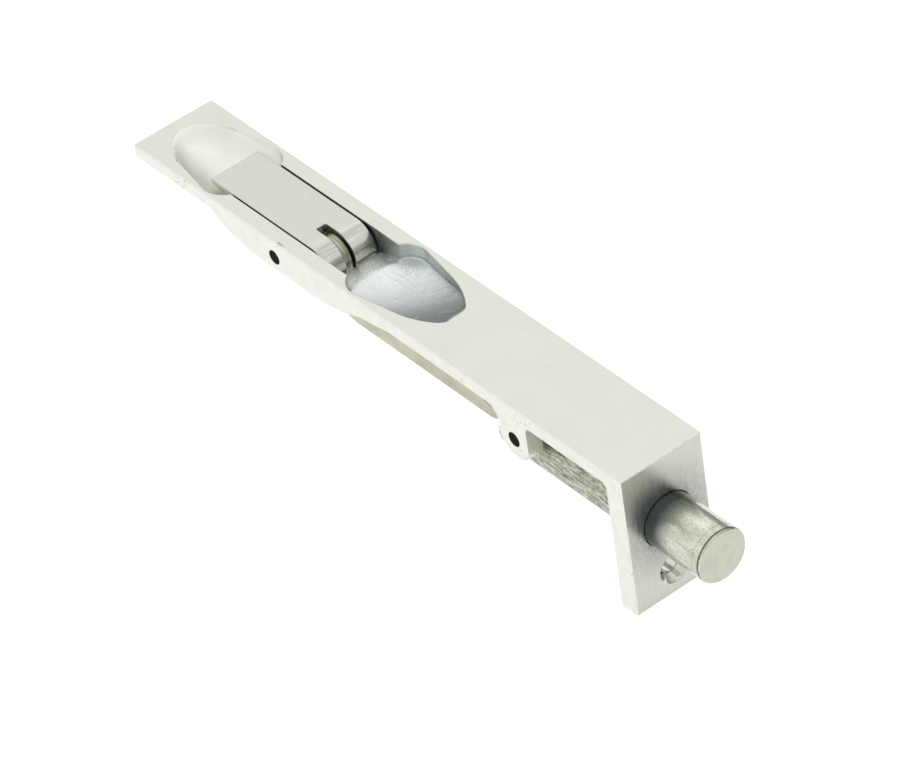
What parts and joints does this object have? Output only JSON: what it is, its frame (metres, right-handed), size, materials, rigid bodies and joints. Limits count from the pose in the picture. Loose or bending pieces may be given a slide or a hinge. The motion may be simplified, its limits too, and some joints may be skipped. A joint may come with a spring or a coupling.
{
  "type": "flush bolt",
  "caption": "Lever-action flush bolt: a folding lever in a scooped face plate throws a round bolt out of the end plate through a pinned link.",
  "frame": {"origin": "where the bolt's axis crosses the outer face of the end plate, with the bolt shot", "axes": "+X is the way the bolt shoots, +Z is the outward normal of the face plate, +Y runs across the face plate"},
  "size_m": [0.1675, 0.02, 0.0336],
  "materials": {
    "satin_casting": "satin brushed chrome on a die casting, brushed along the face and down the end plate, as cast on the sides",
    "satin_lever": "satin chrome, polished round the hub",
    "steel_pins": "plain steel",
    "link_steel": "unplated strip, dull brown grey",
    "bolt_steel": "turned and polished nose, rough shank",
    "spring_steel": "blued spring strip"
  },
  "bodies": {
    "case": {"body_casting": "satin_casting", "lever_pivot_pin": "steel_pins", "guide_pin": "steel_pins", "friction_spring": "spring_steel"},
    "lever": {"lever": "satin_lever", "lever_link_pin": "steel_pins"},
    "link": {"link_bar": "link_steel"},
    "bolt": {"bolt_rod": "bolt_steel", "bolt_link_rivet": "steel_pins"}
  },
  "joints": [
    {"name": "lever_swing", "type": "hinge", "parent": "case", "child": "lever", "pos_m": [-0.1062, 0, 0.0109], "axis": [0, 1, 0], "range_deg": [0, 165]},
    {"name": "link_turn", "type": "hinge", "parent": "lever", "child": "link", "pos_m": [-0.0987, 0, 0.01], "axis": [0, 1, 0], "range_deg": [-165, 0]},
    {"name": "bolt_slide", "type": "slide", "parent": "case", "child": "bolt", "axis": [1, 0, 0], "range_m": [-0.015, 0]}
  ],
  "couplings": [
    {"joint": "link_turn", "follows": "lever_swing", "ratio": -1},
    {"joint": "bolt_slide", "follows": "lever_swing", "m_per_rad": -0.005208}
  ]
}
